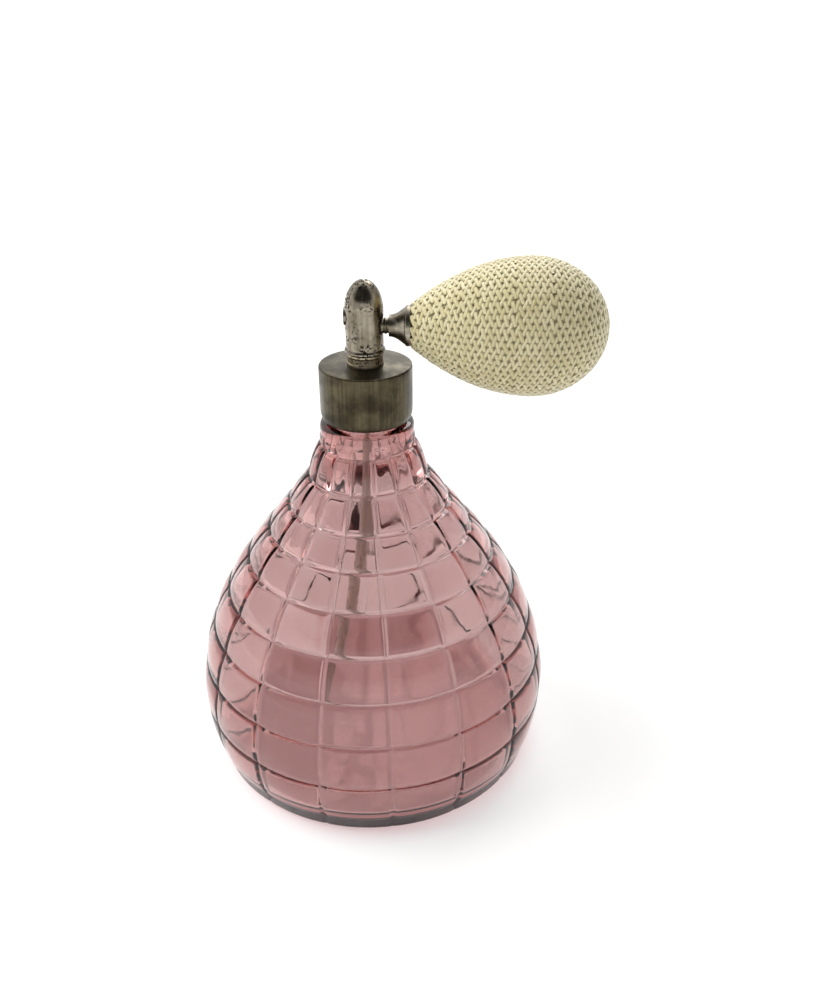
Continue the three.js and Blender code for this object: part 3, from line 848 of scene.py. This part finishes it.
def collar_outline():
    top = [(3.4, COLLAR_TOP), (COLLAR_RADIUS, COLLAR_TOP, 0.55)]
    side = [(COLLAR_RADIUS, 112.0, 0.9), (12.4, 110.3, 0.3)]
    inner = [(12.1, 110.3, 0.12), (12.15, 110.9), (12.5, 112.3, 0.6), (12.5, 125.1, 0.3)]
    return eased([*top, *side, *inner, (3.4, 125.1)])


def boss_outline():
    base = [(3.6, 125.8), (5.05, 125.8), (5.05, 126.5, 0.1)]
    waist = [(4.85, 126.7, 0.1), (4.85, 128.2, 0.1)]
    rim = [(5.05, 128.4, 0.1), (5.05, 129.2, 0.3), (3.0, 129.2), (3.0, 128.1), (3.6, 128.1)]
    return eased(base + waist + rim)


collar = turned("dark_collar", collar_outline(), sides=160)
place_piece(collar, "collar", dark_nickel, ["collar_shell"])
boss = turned("boss", boss_outline())
place_piece(boss, "collar", boss_plate, ["boss_ring"])

# %% [markdown]
# ## The spray head
#
# The head is a small dome drawn from sheet, with a flared lip at its foot. It was drilled on
# both sides, for the jet and for the nipple that the bulb is screwed to. A Boolean modifier
# drills it here in the same way, with a turned plug as the drill.

# %% Dome
AXIS_Z = 136.6  # height of the bulb's axis
JET_Z = 139.2
JET_HOLE = 2.75
NIPPLE_HOLE = 2.55
DRILL_FROM, DRILL_TO = 1.0, 9.0  # how far from the dome's axis the drill starts and ends
DOME_RADIUS = 5.3
DOME_WALL = 0.8
SHOULDER_Z = 141.1
DOME_RISE = 8.2


def arch(radius, rise, steps=20):
    """Points over the top of the dome, from its side to the axis."""
    turns = [math.pi / 2 * step / steps for step in range(steps + 1)]
    points = [(radius * math.cos(turn), SHOULDER_Z + rise * math.sin(turn)) for turn in turns]
    return points[:-1] + [(0.0, SHOULDER_Z + rise)]


def dome_outline():
    inner = DOME_RADIUS - DOME_WALL
    lip = [(inner, 129.45), (5.65, 129.45, 0.2), (5.65, 130.05, 0.2), (DOME_RADIUS, 130.55, 0.2)]
    over = arch(DOME_RADIUS, DOME_RISE)
    under = arch(inner, DOME_RISE - DOME_WALL)[::-1]
    return eased(lip) + over + under


def drill(piece, radius, start, end, height):
    """Cuts a round hole along X through one side of a piece."""
    plug = [(0, start), (radius, start), (radius, end), (0, end)]
    drill_bit = turned("drill_bit", plug, 48, height)
    cut = piece.modifiers.new("hole", "BOOLEAN")
    cut.object = drill_bit
    keep_result(piece)
    bpy.data.objects.remove(drill_bit)


dome = turned("spray_dome", dome_outline(), sides=128)
drill(dome, JET_HOLE, -DRILL_TO, -DRILL_FROM, JET_Z)
drill(dome, NIPPLE_HOLE, DRILL_FROM, DRILL_TO, AXIS_Z)
dome.data.set_sharp_from_angle(angle=math.radians(35))
place_piece(dome, "head", worn_plate, ["head_dome"])

# %% [markdown]
# The jet is a small turned disc with a fine hole. The nipple has a screw thread, drawn here as
# close ridges, and the bulb's ferrule is a trumpet that ends in a rolled bead.

# %% Jet, nipple and ferrule
def jet_outline():
    stem = [(0.8, -2.3), (1.4, -2.3), (1.4, -4.6), (2.45, -4.6, 0.1), (2.45, -5.5, 0.25)]
    return eased([*stem, (0.7, -5.5, 0.1), (0.35, -5.3), (0.35, -5.1), (0.8, -4.8)])


def nipple_outline():
    root, crest = 2.0, 2.25
    ridges = []
    for k in range(6):
        x = 2.0 + 1.1 * k
        ridges += [(root, x), (crest, x + 0.4, 0.1), (crest, x + 0.6, 0.1), (root, x + 1.0)]
    return eased([(0.9, 1.6), (root, 1.6), *ridges, (root, 8.4), (0.9, 8.4)])


def ferrule_outline():
    trumpet = smooth_through([(2.95, 6.7), (3.05, 7.6), (3.55, 8.9), (4.4, 10.1), (5.05, 11.0)], 6)
    bead = [(5.5, 11.3, 0.25), (5.6, 12.0, 0.4), (5.45, 12.8, 0.2), (4.95, 12.9)]
    bore = [(4.7, 11.1), (2.6, 9.2), (1.2, 9.2), (1.2, 8.7), (2.55, 8.7), (2.55, 6.7)]
    return eased([*trumpet, *bead, *bore])


jet = turned("jet", jet_outline(), 64, JET_Z)
place_piece(jet, "head", plated_brass, ["jet_nozzle"])
nipple = turned("nipple", nipple_outline(), 64, AXIS_Z)
place_piece(nipple, "head", plated_brass, ["air_nipple"])
ferrule = turned("ferrule", ferrule_outline(), 96, AXIS_Z)
place_piece(ferrule, "head", plated_brass, ["bulb_ferrule"])

# %% [markdown]
# ## The dip tube
#
# A thin milky tube hangs from the stem and bends towards the bottle's wall, as a tube kept on a
# coil does. It is swept along its line in mesh code, with its bore open at both ends.

# %% Dip tube
TUBE_RADIUS = 1.4
TUBE_BORE = 0.8
TUBE_TOP = 114.3
TUBE_BEND = 108.0  # straight above this height
TUBE_FOOT = 9.4
TUBE_CURVE = 0.00165  # how strongly it bends, in mm sideways for each square mm down


def tube_line(steps=60):
    bent = [TUBE_BEND - (TUBE_BEND - TUBE_FOOT) * k / steps for k in range(steps + 1)]
    return [(0.0, TUBE_TOP)] + [(-TUBE_CURVE * (TUBE_BEND - z) ** 2, z) for z in bent]


def swept_tube(name, line, radii, sides=32):
    """A hollow tube along a line of (x, z) in mm in the plane y = 0."""
    points = [Vector((x, 0.0, z)) for x, z in line]
    turns = [2 * math.pi * k / sides for k in range(sides)]
    side = Vector((0, 1, 0))
    shape = bmesh.new()
    walls = []
    for radius in radii:
        wall = []
        for i, point in enumerate(points):
            along = (points[min(i + 1, len(points) - 1)] - points[max(i - 1, 0)]).normalized()
            across = side.cross(along)
            ring = [point + (side * math.cos(t) + across * math.sin(t)) * radius for t in turns]
            wall.append([shape.verts.new(corner * MM) for corner in ring])
        walls.append(wall)
    loop = walls[0] + walls[1][::-1]
    bridge(shape, loop + loop[:1])
    return link_mesh(name, shape)


tube = swept_tube("milky_tube", tube_line(), (TUBE_RADIUS, TUBE_BORE))
place_piece(tube, "head", clear_tube, ["dip_tube"])

# %% [markdown]
# ## The bulb and its cover
#
# The bulb is soft rubber, shaped like an egg, and its cover is knitted over it from satin
# thread. A squeeze flattens both. Every piece here is given a mesh of its own.

# %% Shape of the bulb
BULB_START = 13.2
BULB_WIDEST = 45.1
BULB_END = 65.8
BULB_RADIUS = 18.7
BULB_TAPER = 39.3  # distance over which the narrow end would thin to nothing


def bulb_radius(x):
    if x < BULB_WIDEST:
        return BULB_RADIUS * (1 - ((BULB_WIDEST - x) / BULB_TAPER) ** 2)
    share = (x - BULB_WIDEST) / (BULB_END - BULB_WIDEST)
    return BULB_RADIUS * math.sqrt(max(0.0, 1 - share**2))


def bulb_line(inset, steps=90):
    """(radius, x) from the narrow end to the tip, that far inside the outermost surface."""
    turns = [math.pi / 2 * k / steps for k in range(steps + 1)]
    places = [BULB_START + (BULB_END - BULB_START) * math.sin(turn) for turn in turns]
    outer = np.array([(bulb_radius(x), x) for x in places])
    along = np.gradient(outer, axis=0)
    outward = np.stack([along[:, 1], -along[:, 0]], axis=1)
    outward /= np.linalg.norm(outward, axis=1)[:, None]
    line = [tuple(point) for point in outer - inset * outward]
    return line[:-1] + [(0.0, BULB_END - inset)]


def squeezed(piece):
    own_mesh(piece)


print("bulb from", BULB_START, "to", BULB_END, "mm, widest radius", BULB_RADIUS)

# %% [markdown]
# The rubber is a closed skin with a neck that is pushed over the spigot. Over it lies the
# ground of the cover, the part of the knit that only shows as shade between the stitches. Its
# thread is coloured darker than the stitches: painted shade.

# %% Rubber bulb and ground of the cover
RUBBER_NECK_RADIUS = 4.3
RUBBER_NECK_BORE = 2.7
RUBBER_NECK_START = 11.6
GROUND_INSET = 0.62
GROUND_WALL = 0.3
RUBBER_INSET = 1.3
RUBBER_WALL = 1.4


def thread_in_painted_shade_finish():
    material, board, shader = new_finish("thread_in_painted_shade", {"Roughness": 0.8})
    place = board.node("ShaderNodeTexCoord").outputs["Object"]
    fluff = board.noise(place, 1400.0, 3.0)
    tufts = board.fade(fluff, 0.35, 0.65)
    # Painted shade: the ground's thread is coloured darker than the stitches, for the shade between
    # them.
    tone = board.mix(tufts, colour(0.4, 0.35, 0.19), colour(0.52, 0.47, 0.28))
    board.feed(shader.inputs["Base Color"], tone)
    board.feed(shader.inputs["Normal"], board.bump(fluff, 0.2 * MM))
    return material


thread_in_painted_shade = thread_in_painted_shade_finish()
ground_line = bulb_line(GROUND_INSET) + bulb_line(GROUND_INSET + GROUND_WALL)[::-1]
ground = turned("cover_ground", ground_line, 96, AXIS_Z)
squeezed(ground)
place_piece(ground, "head", thread_in_painted_shade, [])

neck = [(RUBBER_NECK_BORE, RUBBER_NECK_START), (RUBBER_NECK_RADIUS, RUBBER_NECK_START, 0.3)]
neck += [(RUBBER_NECK_RADIUS, 14.6)]
outside = [point for point in bulb_line(RUBBER_INSET) if point[1] > 14.7]
hollow = [point for point in bulb_line(RUBBER_INSET + RUBBER_WALL) if point[1] > 15.5][::-1]
rubber_line = eased([*neck, *outside, *hollow, (RUBBER_NECK_BORE, 15.0)])
rubber = turned("soft_bulb", rubber_line, 96, AXIS_Z)
squeezed(rubber)
place_piece(rubber, "head", cream_rubber, ["rubber_bulb"])

# %% [markdown]
# The knit is about seventeen hundred plump stitches in rings round the bulb. In every second
# ring the thread leans one way, and in the rings between it leans the other way and sits half a
# stitch further round. That is a rule, so Geometry Nodes lay it.
#
# 1. The bulb's line is cut into points, one for each ring, and each keeps its number, its
#    direction along the bulb and how many stitches go round there.
# 2. Each point is repeated that many times, and the copies are turned round the axis.
# 3. One short thread, thick in the middle and bent like an arch, is set on every point.
#
# One tree makes both layers. An input says whether it lays the even rings or the odd ones.

# %% Helpers for stitches
def random_between(board, low, high, seed):
    node = board.node("FunctionNodeRandomValue", data_type="FLOAT")
    board.feed(node.inputs[2], low)
    board.feed(node.inputs[3], high)
    board.feed(node.inputs["Seed"], seed)
    return node.outputs[1]


def stored(board, geometry, name, value, kind="FLOAT", domain="POINT"):
    """Writes a number or a vector on each point under this name."""
    inputs = {"Geometry": geometry, "Name": name, "Value": value}
    node = board.node("GeometryNodeStoreNamedAttribute", inputs, data_type=kind, domain=domain)
    return node.outputs["Geometry"]


print("stitch helpers ready")

# %% One stitch
THINNING = 0.8  # 0 would keep the thread as thick at its ends as in its middle


def one_thread(board):
    """A short arched thread along X, with how far along and how far round it each point is."""
    half = board.math("MULTIPLY", board.given["Thread length"], 0.5)
    dip = board.math("MULTIPLY", board.given["Arch"], -1.0)
    ends = {
        "Resolution": 5,
        "Start": board.join(board.math("MULTIPLY", half, -1.0), 0.0, dip),
        "Middle": board.join(0.0, 0.0, board.given["Arch"]),
        "End": board.join(half, 0.0, dip),
    }
    arch_line = board.node("GeometryNodeCurveQuadraticBezier", ends).outputs["Curve"]
    factor = board.node("GeometryNodeSplineParameter").outputs["Factor"]
    arch_line = stored(board, arch_line, "thread_run", factor)
    off_middle = board.math("SUBTRACT", board.math("MULTIPLY", factor, 2.0), 1.0)
    thinner = board.math("MULTIPLY", board.math("POWER", off_middle, 2.0), THINNING)
    plump = board.math("SQRT", board.math("SUBTRACT", 1.0, thinner))
    arch_line = board.node("GeometryNodeSetCurveRadius", {"Curve": arch_line, "Radius": plump})
    half_width = board.math("MULTIPLY", board.given["Thread width"], 0.5)
    circle = {"Resolution": 6, "Radius": half_width}
    section = board.node("GeometryNodeCurvePrimitiveCircle", circle).outputs["Curve"]
    section = stored(board, section, "thread_turn", factor)
    inputs = {"Curve": arch_line.outputs["Curve"], "Profile Curve": section, "Fill Caps": True}
    return board.node("GeometryNodeCurveToMesh", inputs).outputs["Mesh"]


print("stitch rule ready")

# %% [markdown]
# The number of stitches round a ring goes up in fours. Most neighbouring rings then have the
# same number, and the half-stitch shift between them holds all the way round.

# %% Places for the stitches
STITCH_STEP = 4.0
LEAN_SPREAD = 0.1  # radians, to either side
THINNEST = 0.9
THICKEST = 1.08


def ring_points(board):
    """One point for each ring of this layer, with its number, direction and stitch count."""
    size = board.given
    curve = board.node("GeometryNodeMeshToCurve", {"Mesh": size["Shape"]}).outputs["Curve"]
    inputs = {"Curve": curve, "Length": size["Ring spacing"]}
    rings = board.node("GeometryNodeCurveToPoints", inputs, mode="LENGTH")
    number = board.node("GeometryNodeInputIndex").outputs["Index"]
    radius = board.split(board.node("GeometryNodeInputPosition").outputs["Position"])[1]
    step = board.math("MULTIPLY", size["Stitch spacing"], STITCH_STEP / 2 / math.pi)
    steps = board.math("ROUND", board.math("DIVIDE", radius, step))
    count = board.math("MULTIPLY", board.math("MAXIMUM", steps, 2.0), STITCH_STEP)
    points = stored(board, rings.outputs["Points"], "ring_number", number)
    points = stored(board, points, "heading", rings.outputs["Tangent"], "FLOAT_VECTOR")
    points = stored(board, points, "stitches", count)
    parity = board.math("MODULO", number, 2.0)
    other = board.math("COMPARE", parity, board.math("SUBTRACT", 1.0, size["Odd rings"]), 0.1)
    inputs = {"Geometry": points, "Selection": other}
    return board.node("GeometryNodeDeleteGeometry", inputs, domain="POINT").outputs["Geometry"]


def repeated(board, points):
    """A copy of each ring's point for each of its stitches, with its turn round the axis."""
    inputs = {"Geometry": points, "Amount": named(board, "stitches")}
    copies = board.node("GeometryNodeDuplicateElements", inputs, domain="POINT")
    shift = board.math("MULTIPLY", board.math("MODULO", named(board, "ring_number"), 2.0), 0.5)
    place_round = board.math("ADD", copies.outputs["Duplicate Index"], shift)
    turn = board.math("DIVIDE", place_round, named(board, "stitches"))
    turn = board.math("MULTIPLY", turn, 2 * math.pi)
    return stored(board, copies.outputs["Geometry"], "turn", turn)


def set_round(board, points):
    """Moves each copy to its place, and stores which way is out and which way its thread runs."""
    turn = named(board, "turn")
    cosine = board.math("COSINE", turn)
    minus_sine = board.math("MULTIPLY", board.math("SINE", turn), -1.0)
    heading_x, heading_r, _ = board.split(named(board, "heading", "FLOAT_VECTOR"))
    outward = board.join(
        board.math("MULTIPLY", heading_r, -1.0),
        board.math("MULTIPLY", heading_x, minus_sine),
        board.math("MULTIPLY", heading_x, cosine),
    )
    forward = board.join(
        heading_x,
        board.math("MULTIPLY", heading_r, minus_sine),
        board.math("MULTIPLY", heading_r, cosine),
    )
    sideways = board.join(0.0, board.math("MULTIPLY", cosine, -1.0), minus_sine)
    spread = random_between(board, -LEAN_SPREAD, LEAN_SPREAD, board.given["Seed"])
    lean = board.math("ADD", board.given["Lean"], spread)
    round_part = board.scaled(sideways, board.math("COSINE", lean))
    direction = board.vector("ADD", round_part, board.scaled(forward, board.math("SINE", lean)))
    points = stored(board, points, "direction", direction, "FLOAT_VECTOR")
    points = stored(board, points, "outward", outward, "FLOAT_VECTOR")
    along, radius, _ = board.split(board.node("GeometryNodeInputPosition").outputs["Position"])
    across = board.math("MULTIPLY", radius, minus_sine)
    up = board.math("ADD", AXIS_Z * MM, board.math("MULTIPLY", radius, cosine))
    inputs = {"Geometry": points, "Position": board.join(along, across, up)}
    return board.node("GeometryNodeSetPosition", inputs).outputs["Geometry"]


print("places ready, with stitches in steps of", STITCH_STEP)

# %% Tree that lays stitches
def stitching_tree():
    sizes = ("Ring spacing", "Stitch spacing", "Thread length", "Thread width")
    sizes += ("Flatness", "Arch", "Lean")
    tree, board = new_tree("lay_stitches", sizes, ("Odd rings", "Seed"))
    seed = board.given["Seed"]
    points = set_round(board, repeated(board, ring_points(board)))
    axes = {
        "Primary Axis": named(board, "outward", "FLOAT_VECTOR"),
        "Secondary Axis": named(board, "direction", "FLOAT_VECTOR"),
    }
    facing = board.node("FunctionNodeAxesToRotation", axes, primary_axis="Z", secondary_axis="X")
    thickness = random_between(board, THINNEST, THICKEST, seed)
    depth = board.math("MULTIPLY", thickness, board.given["Flatness"])
    inputs = {
        "Points": points,
        "Instance": one_thread(board),
        "Rotation": facing.outputs["Rotation"],
        "Scale": board.join(1.0, thickness, depth),
    }
    stitches = board.node("GeometryNodeInstanceOnPoints", inputs).outputs["Instances"]
    tint = random_between(board, 0.0, 1.0, seed)
    stitches = stored(board, stitches, "tint", tint, domain="INSTANCE")
    finish_tree(board, stitches)
    return tree


lay_stitches = stitching_tree()
print("stitching tree with", len(lay_stitches.nodes), "nodes")

# %% [markdown]
# Satin thread is many fine fibres with a slight twist. The bump follows the thread itself, so
# it reads the numbers that the tree stored: how far along the thread and how far round it.

# %% Satin thread
FIBRES = 9.0  # ridges round the thread
FIBRE_TWIST = 9.0  # how far they wind along it, in half ridges


def satin_thread_finish():
    material, board, shader = new_finish("satin_thread", {"Sheen Weight": 0.15})
    run, turn, tint = (
        board.node("ShaderNodeAttribute", attribute_name=name).outputs["Fac"]
        for name in ("thread_run", "thread_turn", "tint")
    )
    place = board.node("ShaderNodeTexCoord").outputs["Object"]
    worn = board.noise(place, 90.0, 4.0)
    tone = board.mix(tint, colour(0.74, 0.665, 0.41), colour(0.6, 0.525, 0.28))
    tone = board.mix(board.fade(worn, 0.45, 0.75, 0.0, 0.4), tone, colour(0.62, 0.55, 0.3))
    board.feed(shader.inputs["Base Color"], tone)
    round_part = board.math("MULTIPLY", turn, 2.0 * FIBRES)
    plies = board.math("ADD", round_part, board.math("MULTIPLY", run, FIBRE_TWIST))
    plies = board.math("SINE", board.math("MULTIPLY", plies, math.pi))
    board.feed(shader.inputs["Normal"], board.bump(plies, 0.03 * MM))
    board.feed(shader.inputs["Roughness"], board.fade(worn, 0.3, 0.7, 0.25, 0.4))
    return material


satin_thread = satin_thread_finish()
print("satin thread with", int(FIBRES), "ridges")

# %% [markdown]
# Each layer starts as the bulb's line, drawn as bare edges a little way inside the outermost
# surface, about half as deep as a stitch is thick.

# %% Knitted cover
def edge_line(name, line):
    mesh = bpy.data.meshes.new(name)
    points = [(x * MM, radius * MM, 0.0) for radius, x in line]
    mesh.from_pydata(points, [(i, i + 1) for i in range(len(points) - 1)], [])
    made = bpy.data.objects.new(name, mesh)
    bpy.context.scene.collection.objects.link(made)
    return made


THREAD_INSET = 0.42
knit_sizes = {
    "Ring spacing": 0.95 * MM,
    "Stitch spacing": 3.3 * MM,
    "Arch": 0.2 * MM,
    "Flatness": 0.62,
    "Finish": satin_thread,
}
layers = {
    "knit_over": {
        "Odd rings": 0,
        "Thread length": 2.75 * MM,
        "Thread width": 1.5 * MM,
        "Lean": math.radians(20),
        "Seed": 3,
    },
    "knit_under": {
        "Odd rings": 1,
        "Thread length": 2.6 * MM,
        "Thread width": 1.4 * MM,
        "Lean": math.radians(-24),
        "Seed": 8,
    },
}
for name, layer in layers.items():
    knit = edge_line(name, bulb_line(THREAD_INSET))
    grow(knit, lay_stitches, {**knit_sizes, **layer})
    knit.data.shade_smooth()
    squeezed(knit)
    place_piece(knit, "head", satin_thread, ["net_cover"])

# %% [markdown]
# A cord is drawn tight round the cover's mouth and holds it on the neck. Two plies are twisted
# together, so the ring is made as two thin tubes that wind round each other.

# %% Drawn cord
CORD_X = 13.6
CORD_RADIUS = 4.85  # of the ring that it makes round the neck
PLY_RADIUS = 0.16
CORD_TWISTS = 26


def twisted_ring(name, centre_x, ring_radius, ply_radius, twists, steps=416, sides=8):
    bends = [2 * math.pi * k / sides for k in range(sides)]
    along = Vector((1, 0, 0))
    shape = bmesh.new()
    for ply in range(2):
        rings = []
        for i in range(steps):
            turn = 2 * math.pi * i / steps
            wind = twists * turn + math.pi * ply
            radius = ring_radius + ply_radius * math.cos(wind)
            x = centre_x + ply_radius * math.sin(wind)
            outward = Vector((0.0, math.cos(turn), math.sin(turn)))
            centre = Vector((x, 0.0, AXIS_Z)) + outward * radius
            spokes = [outward * math.cos(b) + along * math.sin(b) for b in bends]
            rings.append([shape.verts.new((centre + s * ply_radius) * MM) for s in spokes])
        bridge(shape, rings + rings[:1])
    return link_mesh(name, shape, sharp=180)


cord = twisted_ring("drawn_cord", CORD_X, CORD_RADIUS, PLY_RADIUS, CORD_TWISTS)
squeezed(cord)
# The cord gets the same thread colour, darkened as painted shade.
place_piece(cord, "head", thread_in_painted_shade, ["net_tie"])
